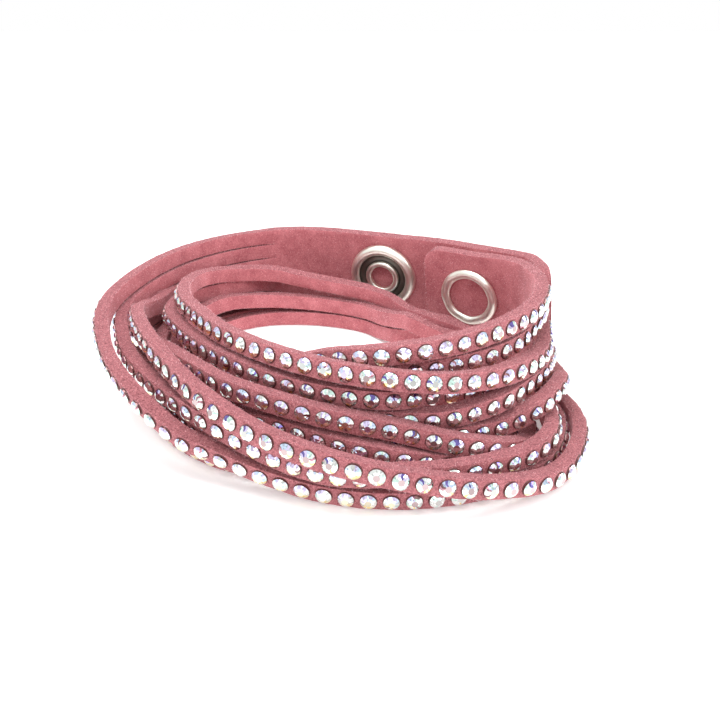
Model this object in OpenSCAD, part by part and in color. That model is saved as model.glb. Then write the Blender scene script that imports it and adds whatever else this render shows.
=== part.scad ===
// Crystal bracelet: one long suede strap, slit into six strands between two whole end tabs, wound twice round
// and closed by a snap. Each strand carries a raised row of small crystals on its outer face.
// Frame: +Z up from the surface it lies on, -Y towards the viewer, +X right. Millimetres.

/* [Strap] */
// thickness of the suede
strap_thickness = 1.7; // [1.2:0.1:2.5]
// width of the strap taken by one strand
strand_pitch = 2.55;
// width of a strand once it is slit free
strand_width = 2.35;
// height of the middle of the top strand where the tabs stand upright on the surface
top_strand_height = 14.4;
// rounding of the corners of both tabs
tab_corner = 3;

/* [Crystals] */
// width of a row of crystals
row_width = 1.6; // [1.2:0.1:2.0]
// width of its flat top
row_crest = 1.1;
// how far the crystals stand above the suede
row_height = 0.55; // [0.4:0.05:0.6]
// clearance between touching pieces
gap = 0.12;

/* [Snaps] */
// angle round the loop of the free socket on the outer tab
free_socket_at = 73;
// angle round the loop of the closed snap, on the inner tab
closed_snap_at = 754;
// from the middle of the inner tab to the middle of the outer tab there
tab_spacing = 4.2;
// height of the snaps above the surface
snap_height = 8.3;
// clearance of a flat snap part on the slightly curved tab
snap_seat = 0.16;
socket_radius = 6;
socket_hole_radius = 2.05;
ring_radius = 5;
ring_hole_radius = 3.45;
stud_radius = 4.2;
stud_post_radius = 1.8;

/* [Hidden] */
$fn = 72;

// columns of every table below
ANGLE = 0;
RADIUS = 1;
HEIGHT = 2;
LEAN = 3;

// Outer tab: angle, radius of the top strand, its rise over its usual height, lean of the outer face upwards
tab_a = [[8, 31.6, 0, 6], [16, 32.6, 0, 8], [24, 33.0, 0, 10], [28, 31.8, 0, 10], [32, 30.7, 0, 10],
    [40, 29.0, 0, 10], [48, 28.1, 0, 10], [56, 27.3, 0, 10], [64, 26.65, 0, 10], [72, 26.55, 0, 10],
    [80, 27.0, 0, 10], [94, 29.0, 0, 8], [108, 31.1, 0, 4]];
// Inner tab, one turn and a bit later
tab_b = [[726, 29.1, 0.9, 6], [736, 29.3, 0.5, 8], [744, 28.2, 0.2, 10], [752, 26.0, 0, 10], [760, 24.6, 0, 10],
    [765, 24.0, 0, 10], [772, 23.5, 0, 10]];

// Routes of the six strands from the outer tab to the inner tab, top strand of the tab first
routes = [
    // strand 1: outermost at the left, the front's lowest row, along the inside floor, back as the top front row
    [[123, 32.3, 14.2, 0], [140, 32.5, 14.0, 0], [160, 32.3, 13.45, 0], [185, 32.9, 11.9, 0],
     [200, 32.2, 10.6, -5], [220, 31.8, 8.6, -10], [230, 31.3, 6.5, -10], [236, 30.9, 5.1, -10],
     [242, 30.3, 4.3, -10], [255, 30.2, 2.8, -10], [270, 31.1, 1.4, -5], [285, 33.3, 1.4, -5],
     [300, 35.0, 1.4, 0], [312, 36.0, 1.4, 0], [324, 34.9, 1.4, 0], [336, 32.4, 1.4, 0], [342, 30.3, 1.4, 0],
     [348, 28.1, 1.6, 0], [354, 26.1, 3.4, 0], [358, 24.9, 4.0, 0], [372, 20.9, 4.0, 0], [386, 17.6, 4.0, 0],
     [392, 16.5, 4.0, 0], [398, 15.4, 3.4, 0], [410, 14.9, 2.6, 0], [423, 16.6, 1.7, 0], [436, 19.0, 1.4, 0],
     [453, 21.2, 1.4, 0], [466, 23.1, 1.4, 0], [485, 25.8, 1.4, 0], [500, 26.3, 1.5, 0], [512, 24.8, 2.2, 0],
     [518, 23.5, 3.4, 0], [525, 22.6, 4.6, 0], [537, 21.4, 5.8, 0], [560, 20.2, 7.0, 0], [580, 19.4, 7.7, 0],
     [600, 18.4, 8.6, 0], [615, 18.9, 11.0, 0], [630, 21.0, 13.3, 5], [645, 23.7, 14.6, 5],
     [672, 26.0, 15.2, 8], [684, 27.0, 15.4, 5], [696, 28.0, 15.5, 0], [720, 29.0, 15.5, 0]],
    // strand 2: second at the left, above strand 1 at the front, inside wall at the back, second row from the top
    [[123, 32.2, 11.65, 0], [140, 32.1, 11.4, 0], [160, 31.9, 10.86, 0], [172, 31.9, 10.2, 0],
     [180, 31.3, 9.7, 0], [190, 30.15, 9.5, 0], [200, 29.6, 9.2, 0], [220, 28.6, 8.3, 0], [230, 28.5, 7.9, 0],
     [242, 29.0, 7.1, 0], [255, 29.8, 5.5, 0], [270, 31.4, 4.1, 0], [285, 32.9, 4.1, 0], [300, 34.8, 4.1, 0],
     [312, 35.8, 4.1, 0], [318, 35.3, 4.1, 0], [330, 31.8, 4.0, 0], [342, 27.4, 4.0, 0], [354, 23.1, 4.0, 0],
     [366, 19.6, 4.3, 0], [372, 17.9, 4.6, 0], [379, 16.2, 5.2, 0], [386, 14.8, 5.8, 0], [392, 14.0, 6.2, 0],
     [398, 14.1, 6.1, 0], [410, 14.5, 5.4, 0], [423, 16.3, 4.5, 0], [436, 18.9, 4.1, 0], [453, 21.2, 4.1, 0],
     [466, 23.2, 4.3, 0], [485, 25.9, 5.0, 0], [500, 26.2, 5.9, 0], [512, 25.8, 5.9, 0], [518, 25.8, 5.7, 0],
     [525, 25.5, 5.0, 0], [537, 24.2, 3.8, 0], [545, 22.9, 2.8, 0], [560, 22.0, 1.6, 0], [580, 21.4, 2.0, 0],
     [592, 20.7, 3.5, 0], [605, 20.1, 5.6, 0], [618, 19.6, 7.8, 0], [645, 22.9, 11.8, 5], [660, 24.8, 12.3, 8],
     [684, 27.3, 12.7, 5], [696, 27.7, 12.8, 0], [720, 29.2, 12.9, 0]],
    // strand 3: swings to the outside at the front right, top of the inside wall at the back, third row of the front
    [[123, 32.0, 9.1, 0], [140, 31.8, 8.9, 0], [150, 31.2, 8.63, 0], [157, 29.95, 8.58, 0], [165, 29.1, 9.1, 0],
     [173, 29.2, 10.0, 0], [181, 28.7, 10.9, 0], [190, 27.75, 11.3, 0], [200, 27.0, 11.6, 0],
     [220, 27.1, 11.2, 5], [240, 29.0, 10.0, 8], [255, 30.9, 8.3, 10], [270, 33.3, 6.9, 10],
     [285, 35.7, 5.2, 10], [300, 37.8, 3.2, 5], [312, 38.6, 1.8, 0], [324, 37.5, 1.5, 0], [336, 35.2, 1.4, 0],
     [342, 33.2, 1.4, 0], [348, 31.0, 1.4, 0], [354, 28.9, 1.5, 0], [360, 27.3, 2.2, 0], [366, 25.8, 3.6, 0],
     [372, 23.9, 4.1, 0], [386, 20.5, 4.5, 0], [398, 18.6, 5.0, 0], [410, 17.5, 5.65, 0], [423, 19.0, 6.3, 0],
     [436, 20.3, 6.9, 8], [453, 21.9, 7.5, 12], [466, 24.4, 8.1, 12], [475, 26.4, 8.9, 10], [487, 28.2, 9.5, 8],
     [503, 27.9, 10.7, 5], [520, 25.0, 11.8, 5], [537, 22.3, 12.5, 5], [560, 19.5, 13.0, 5],
     [580, 19.3, 13.25, 10], [600, 20.2, 13.4, 15], [615, 21.9, 13.5, 15], [630, 24.1, 13.3, 15],
     [645, 26.7, 12.9, 15], [660, 28.4, 11.9, 12], [684, 30.0, 10.8, 5], [696, 29.9, 10.2, 0],
     [708, 29.4, 10.4, 0], [720, 29.7, 10.4, 0]],
    // strand 4: inside the front left, low at the right, hidden behind the inside wall, fourth row of the front
    [[123, 31.9, 6.55, 0], [140, 31.7, 6.4, 0], [150, 31.8, 6.25, 0], [165, 32.0, 6.2, 0], [175, 30.8, 6.7, 0],
     [185, 28.0, 7.75, 0], [200, 25.0, 8.8, 0], [220, 24.0, 9.8, 0], [240, 24.8, 9.8, 5], [255, 25.6, 9.5, 5],
     [270, 26.6, 8.5, 5], [285, 28.3, 7.3, 5], [300, 32.2, 5.5, 5], [312, 33.2, 3.3, 0], [318, 32.6, 2.2, 0],
     [324, 31.1, 1.4, 0], [336, 27.0, 1.4, 0], [348, 23.5, 1.4, 0], [354, 23.2, 1.4, 0], [372, 23.1, 1.4, 0],
     [376, 23.1, 1.4, 0], [384, 23.2, 2.05, 0], [392, 22.7, 3.5, 0], [399, 21.4, 4.0, 0], [410, 20.3, 4.1, 0],
     [423, 21.6, 4.1, 0], [436, 24.2, 4.0, 0], [453, 26.3, 4.0, 0], [464, 28.0, 4.9, 0], [472, 28.8, 6.0, 0],
     [482, 29.0, 6.8, 0], [500, 28.9, 7.6, 0], [510, 28.5, 8.0, 0], [525, 26.2, 9.1, 0], [537, 24.4, 9.9, 0],
     [560, 21.2, 10.2, 0], [580, 20.6, 10.75, 0], [600, 21.3, 10.9, 0], [615, 22.5, 10.7, 0],
     [630, 23.9, 10.3, 0], [645, 25.8, 10.22, 0], [660, 26.0, 9.45, 0], [672, 27.4, 8.8, 0], [696, 27.5, 7.7, 0],
     [708, 27.7, 7.8, 0], [714, 28.4, 8.0, 0], [720, 29.5, 7.9, 0]],
    // strand 5: inner floor of the left and the front, hidden at the back, fifth row of the front
    [[123, 31.8, 4.0, 0], [140, 31.7, 3.9, 0], [160, 32.0, 3.7, 0], [168, 31.9, 3.7, 0], [177, 30.6, 4.4, 0],
     [185, 28.9, 4.9, 0], [200, 26.9, 5.6, 0], [220, 25.6, 6.4, 0], [240, 25.4, 6.2, 0], [255, 25.4, 6.4, 0],
     [270, 27.2, 5.7, 0], [285, 30.0, 4.6, 5], [300, 31.6, 2.9, 5], [306, 31.3, 1.8, 0], [312, 30.6, 1.4, 0],
     [324, 28.2, 1.4, 0], [336, 24.0, 1.4, 0], [348, 20.8, 1.4, 0], [354, 20.6, 1.4, 0], [372, 20.6, 1.4, 0],
     [386, 20.4, 1.4, 0], [398, 20.3, 1.4, 0], [410, 20.2, 1.4, 0], [423, 22.0, 1.4, 0], [436, 24.2, 1.4, 0],
     [453, 26.3, 1.4, 0], [458, 27.2, 1.6, 0], [464, 28.2, 2.4, 0], [472, 28.8, 3.5, 0], [482, 28.9, 4.2, 0],
     [500, 28.9, 4.5, 0], [512, 28.7, 4.8, 0], [525, 28.0, 4.8, 0], [537, 26.8, 4.8, 0], [545, 25.7, 5.0, 0],
     [560, 24.2, 5.6, 0], [580, 22.9, 6.3, 0], [600, 22.9, 6.6, 0], [615, 22.8, 7.3, 0], [630, 23.7, 7.5, 0],
     [645, 25.5, 7.27, 0], [656, 28.0, 7.44, 0], [672, 30.1, 8.35, 0], [680, 30.0, 8.3, 0], [688, 30.1, 8.1, 0],
     [696, 30.2, 7.7, 0], [704, 30.2, 7.1, 0], [712, 30.6, 6.25, 0], [720, 31.0, 5.2, 0]],
    // strand 6: along the floor almost all the way, then the lowest of the crossing rows at the right
    [[123, 31.7, 1.5, 0], [140, 31.6, 1.35, 0], [160, 31.9, 1.3, 0], [168, 31.7, 1.3, 0], [177, 30.3, 1.4, 0],
     [187, 28.7, 1.4, 0], [200, 27.7, 1.4, 0], [220, 27.4, 1.4, 0], [240, 27.5, 1.4, 0], [255, 27.4, 1.4, 0],
     [270, 28.2, 1.4, 0], [285, 29.6, 1.4, 0], [300, 28.8, 1.4, 0], [312, 27.8, 1.4, 0], [324, 25.1, 1.4, 0],
     [336, 20.9, 1.4, 0], [348, 18.1, 1.4, 0], [354, 18.0, 1.4, 0], [372, 18.1, 1.4, 0], [398, 17.9, 1.4, 0],
     [410, 17.7, 1.4, 0], [423, 19.4, 1.4, 0], [436, 21.6, 1.4, 0], [453, 23.7, 1.4, 0], [466, 25.6, 1.4, 0],
     [475, 26.9, 1.4, 0], [485, 28.4, 1.4, 0], [500, 28.9, 1.4, 0], [525, 27.8, 1.4, 0], [545, 25.7, 1.4, 0],
     [560, 24.8, 1.4, 0], [600, 24.9, 1.6, 0], [615, 24.8, 2.4, 0], [630, 24.8, 3.4, 0], [645, 26.3, 4.2, 0],
     [660, 28.66, 5.15, 0], [672, 30.9, 5.45, 0], [680, 32.4, 6.35, 0], [688, 32.7, 6.6, 0], [696, 32.7, 6.2, 0],
     [704, 32.2, 4.6, 0], [712, 31.45, 3.8, 0], [720, 31.6, 2.5, 0]]];

// angles of the cross-sections: close together at the rounded tab ends, one step apart between them
strap_start = 8;
strap_end = 772;
station_step = 8;
stations = concat([strap_start, 8.7, 10.2, 13.5, 16, 24, 28], [for (a = [32:station_step:760]) a],
    [765, 769, 771, strap_end]);
slit_start = 112;
slit_end = 720;
first_slit = search(slit_start, stations)[0];
last_slit = search(slit_end, stations)[0];
strands = len(routes);
last_strand = strands - 1;
// the lane next to the middle of the tab, on which the snaps are placed
middle_lane = 2;
half_tab = strands * strand_pitch / 2;

// moves the bracelet so that its bounding box stands on z = 0 with its middle at the origin
middle_x = -0.08;
middle_y = -2.02;
floor_drop = 0.067;

// one strand's whole table: its lane of the outer tab, its own route, its lane of the inner tab
function lane(tab, k) = [for (row = tab) [row[ANGLE], row[RADIUS] + k * strand_pitch * tan(row[LEAN]),
    top_strand_height + row[HEIGHT] - k * strand_pitch, row[LEAN]]];
tables = [for (k = [0:last_strand]) concat(lane(tab_a, k), routes[k], lane(tab_b, k))];

// smooth value of one column of a table at an angle
function section(t, a, i = 0) = i >= len(t) - 2 || t[i + 1][ANGLE] > a ? i : section(t, a, i + 1);
function rise(t, i, c) = (t[i + 1][c] - t[i][c]) / (t[i + 1][ANGLE] - t[i][ANGLE]);
function slope(t, i, c) = i == 0 ? rise(t, 0, c) : i == len(t) - 1 ? rise(t, i - 1, c) :
    let (before = t[i][ANGLE] - t[i - 1][ANGLE], after = t[i + 1][ANGLE] - t[i][ANGLE])
    (rise(t, i - 1, c) * after + rise(t, i, c) * before) / (before + after);
function value(t, a, c) = let (i = section(t, a), h = t[i + 1][ANGLE] - t[i][ANGLE], s = (a - t[i][ANGLE]) / h)
    (2 * s ^ 3 - 3 * s ^ 2 + 1) * t[i][c] + (s ^ 3 - 2 * s ^ 2 + s) * h * slope(t, i, c)
    + (3 * s ^ 2 - 2 * s ^ 3) * t[i + 1][c] + (s ^ 3 - s ^ 2) * h * slope(t, i + 1, c);

// the strand's middle, and the directions along it, out of its face and up its face
function spot(t, a) = let (r = value(t, a, RADIUS)) [r * cos(a), r * sin(a), value(t, a, HEIGHT)];
function along(t, a) = let (d = spot(t, min(a + 1, strap_end)) - spot(t, max(a - 1, strap_start))) d / norm(d);
function outward(t, a) = let (d = along(t, a), n = [d[1], -d[0], 0] / norm([d[0], d[1]]),
    up = cross(n, d), lean = value(t, a, LEAN)) n * cos(lean) + up * sin(lean);
function upward(t, a) = cross(outward(t, a), along(t, a));
function corner(t, a, out, up) = spot(t, a) + out * outward(t, a) + up * upward(t, a);

// rounding of the tab ends: how much of its height the strap has at a cross-section
function from_end(i) = let (a = stations[i], t = tables[middle_lane])
    min(norm(spot(t, a) - spot(t, stations[0])), norm(spot(t, a) - spot(t, stations[len(stations) - 1])));
function fullness(i) = let (s = min(from_end(i), tab_corner))
    1 - (tab_corner - sqrt(tab_corner ^ 2 - (tab_corner - s) ^ 2)) / half_tab;
function is_tab(i) = i <= first_slit || i >= last_slit;

// corners of one strand at one cross-section: inner bottom, outer bottom, outer top, inner top
half = strap_thickness / 2;
function strand_corners(i, k) = let (a = stations[i], t = tables[k], h = strand_width / 2)
    [for (c = [[-half, -h], [half, -h], [half, h], [-half, h]]) corner(t, a, c[0], c[1])];
// the tab's lanes meet half-way between neighbours, and its end is rounded
function tab_corners(i, k) = let (a = stations[i], t = tables[k], h = strand_pitch / 2)
    [for (c = [[-half, -h], [half, -h], [half, h], [-half, h]])
        let (p = corner(t, a, c[0], c[1]), m = corner(tables[middle_lane], a, c[0], -strand_pitch / 2),
            low = k < last_strand && c[1] < 0 ? corner(tables[k + 1], a, c[0], h) : p)
        m + ((p + low) / 2 - m) * fullness(i)];
function ring_points(i) = [for (k = [0:last_strand], p = is_tab(i) ? tab_corners(i, k) : strand_corners(i, k)) p];

// point numbers: in a tab the top of a lane is the bottom of the lane above it
function point_at(i, k, c) = is_tab(i) && k > 0 && c >= 2 ? 4 * (strands * i + k - 1) + (3 - c)
    : 4 * (strands * i + k) + c;
function side(i, k, c) = let (a = point_at(i, k, c), b = point_at(i, k, (c + 1) % 4),
    d = point_at(i + 1, k, (c + 1) % 4), e = point_at(i + 1, k, c)) [[a, b, d], [a, d, e]];
function whole_here(i) = i + 1 <= first_slit || i >= last_slit;
strap_points = [for (i = [0:len(stations) - 1], p = ring_points(i)) p];
last_station = len(stations) - 1;
strap_faces = concat(
    [for (i = [0:last_station - 1], k = [0:last_strand], c = [0:3])
        if (c % 2 == 1 || !whole_here(i) || (c == 0 && k == last_strand) || (c == 2 && k == 0))
            for (f = side(i, k, c)) f],
    [for (k = [0:last_strand]) for (f = [[0, 2, 1], [0, 3, 2]]) [for (c = f) point_at(0, k, c)]],
    [for (k = [0:last_strand]) for (f = [[0, 1, 2], [0, 2, 3]]) [for (c = f) point_at(last_station, k, c)]]);

// a row of crystals along the outer face of a strand
first_row = first_slit + 1;
last_row = last_slit - 1;
function row_points(k) = [for (i = [first_row:last_row], c = [[half + gap, -row_width / 2],
    [half + row_height, -row_crest / 2], [half + row_height, row_crest / 2], [half + gap, row_width / 2]])
    corner(tables[k], stations[i], c[0], c[1])];
function row_faces() = let (n = last_row - first_row) concat(
    [for (i = [0:n - 1], c = [0:3], d = [(c + 1) % 4], f = [[[0, c], [0, d], [1, d]], [[0, c], [1, d], [1, c]]])
        [for (q = f) 4 * (i + q[0]) + q[1]]],
    [[0, 2, 1], [0, 3, 2], [4 * n, 4 * n + 1, 4 * n + 2], [4 * n, 4 * n + 2, 4 * n + 3]]);

module placed() {
    translate([-middle_x, -middle_y, -floor_drop]) children();
}

// puts a part on a tab's face: its +Z points out of the outer face, its origin on the strap's middle
module on_tab(t, a) {
    n = outward(t, a);
    drop = (snap_height - value(t, a, HEIGHT)) / sqrt(1 - n[2] ^ 2);
    translate(spot(t, a) + drop * upward(t, a))
        rotate([0, acos(n[2]), atan2(n[1], n[0])]) children();
}

module socket_body() {
    rotate_extrude() polygon([[socket_hole_radius, 0], [socket_radius, 0], [socket_radius, 0.6],
        [socket_radius - 0.4, 1.1], [socket_radius - 1, 1.4], [socket_radius - 1.5, 1.35], [socket_radius - 2, 1.0],
        [socket_radius - 2.1, 0.5], [socket_hole_radius + 1.05, 0.5], [socket_hole_radius + 0.95, 1.0],
        [socket_hole_radius + 0.7, 1.2], [socket_hole_radius + 0.25, 1.2], [socket_hole_radius, 1.0]]);
}

module ring_body() {
    rotate_extrude() polygon([[ring_hole_radius, 0], [ring_radius, 0], [ring_radius, 0.35], [ring_radius - 0.4, 0.7],
        [ring_radius - 0.8, 0.8], [ring_hole_radius + 0.35, 0.7], [ring_hole_radius, 0.4]]);
}

module stud_body() {
    rotate_extrude() polygon([[0, 0], [stud_radius, 0], [stud_radius, 0.2], [stud_radius - 0.3, 0.45],
        [stud_post_radius - 0.2, 0.5], [stud_post_radius - 0.3, 0.9], [stud_post_radius, 1.3],
        [stud_post_radius - 0.1, 1.5], [stud_post_radius - 0.5, 1.7], [0, 1.7]]);
}

seat = half + snap_seat;
module strap() color([0.74, 0.42, 0.46]) placed() polyhedron(strap_points, strap_faces);
module crystal_row(k) color([0.85, 0.9, 0.88]) placed() polyhedron(row_points(k), row_faces());
module crystal_row_1() crystal_row(0);
module crystal_row_2() crystal_row(1);
module crystal_row_3() crystal_row(2);
module crystal_row_4() crystal_row(3);
module crystal_row_5() crystal_row(4);
module crystal_row_6() crystal_row(5);
module nickel() color([0.75, 0.75, 0.77]) placed() children();
module socket_1() nickel() on_tab(tables[middle_lane], free_socket_at)
    rotate([180, 0, 0]) translate([0, 0, seat]) socket_body();
module socket_2() nickel() on_tab(tables[middle_lane], closed_snap_at)
    translate([0, 0, tab_spacing - seat]) rotate([180, 0, 0]) socket_body();
module ring_1() nickel() on_tab(tables[middle_lane], free_socket_at) translate([0, 0, seat]) ring_body();
module ring_2() nickel() on_tab(tables[middle_lane], closed_snap_at)
    translate([0, 0, tab_spacing + seat]) ring_body();
module stud() nickel() on_tab(tables[middle_lane], closed_snap_at) translate([0, 0, seat]) stud_body();
module ring_b() nickel() on_tab(tables[middle_lane], closed_snap_at)
    rotate([180, 0, 0]) translate([0, 0, seat]) ring_body();

strap();
crystal_row_1();
crystal_row_2();
crystal_row_3();
crystal_row_4();
crystal_row_5();
crystal_row_6();
socket_1();
socket_2();
stud();
ring_b();
ring_1();
ring_2();
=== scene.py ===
# %% [markdown]
# # A doubled suede bracelet with six strands of crystals
# The real bracelet is one long suede strap. It is slit lengthways into six strands, wound twice round the
# wrist and closed by a press snap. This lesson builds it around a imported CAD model, which fixes every size
# and place.

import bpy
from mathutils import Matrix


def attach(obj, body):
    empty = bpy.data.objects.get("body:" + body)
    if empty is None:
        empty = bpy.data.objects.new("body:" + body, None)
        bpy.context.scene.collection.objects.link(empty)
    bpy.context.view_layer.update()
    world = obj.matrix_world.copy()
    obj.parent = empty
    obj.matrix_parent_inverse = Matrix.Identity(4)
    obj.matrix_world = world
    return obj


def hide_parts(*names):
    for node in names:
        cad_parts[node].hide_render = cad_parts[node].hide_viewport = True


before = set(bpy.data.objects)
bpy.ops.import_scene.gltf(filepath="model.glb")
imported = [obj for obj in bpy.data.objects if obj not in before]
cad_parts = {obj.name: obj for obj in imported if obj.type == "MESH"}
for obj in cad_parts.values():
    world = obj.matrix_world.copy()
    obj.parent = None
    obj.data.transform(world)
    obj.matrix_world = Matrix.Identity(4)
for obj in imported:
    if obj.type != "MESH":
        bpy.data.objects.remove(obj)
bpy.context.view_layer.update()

# %% Tools used all through
import math
import random
import bpy
import numpy as np
from mathutils import Matrix, Vector, noise

# lengths are stated in millimetres, and MM turns them into Blender's metres
MM = 0.001
SEED = 11
random.seed(SEED)
print("one millimetre is", MM, "Blender units, and the random seed is", SEED)

# %% [markdown]
# ## The camera first
# The camera comes first. It stands about 25 degrees above the surface and close by, which makes the front
# strands look much larger than the back of the strap.
# Blender's lens is given in millimetres on a 36 mm wide sensor.

# %% Place the camera
CAMERA_HEIGHT_ANGLE = math.radians(25)
CAMERA_DISTANCE = 118 * MM
CAMERA_TARGET = Vector((3.58, 9.02, -0.067)) * MM
CAMERA_LENS = 36.65
SENSOR_WIDTH = 36
NEAREST_SEEN, FARTHEST_SEEN = 1 * MM, 20


def add_object(name, data):
    obj = bpy.data.objects.new(name, data)
    bpy.context.collection.objects.link(obj)
    return obj


camera = add_object("camera", bpy.data.cameras.new("camera"))
toward = Vector((0, math.cos(CAMERA_HEIGHT_ANGLE), -math.sin(CAMERA_HEIGHT_ANGLE)))
camera.location = CAMERA_TARGET - toward * CAMERA_DISTANCE
camera.rotation_euler = toward.to_track_quat("-Z", "Y").to_euler()
camera.data.lens = CAMERA_LENS
camera.data.sensor_width = SENSOR_WIDTH
camera.data.clip_start = NEAREST_SEEN
camera.data.clip_end = FARTHEST_SEEN
bpy.context.scene.camera = camera
print("camera at", [round(v * 1000, 1) for v in camera.location], "mm")

# %% [markdown]
# ## Where every strand runs
# A strand's route is easiest to state going round the loop: at each angle, how far out its middle lies,
# how high, and how much its outer face leans upwards. The angle runs past 360 degrees because the strap goes
# round twice. The rows are the CAD model's own, so the suede lies where its solid is. Only strand 3 at 150 to
# 165 degrees and strands 4 and 5 at 645 to 660 stand up to 0.4 mm off it, to close two thin slits.

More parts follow.
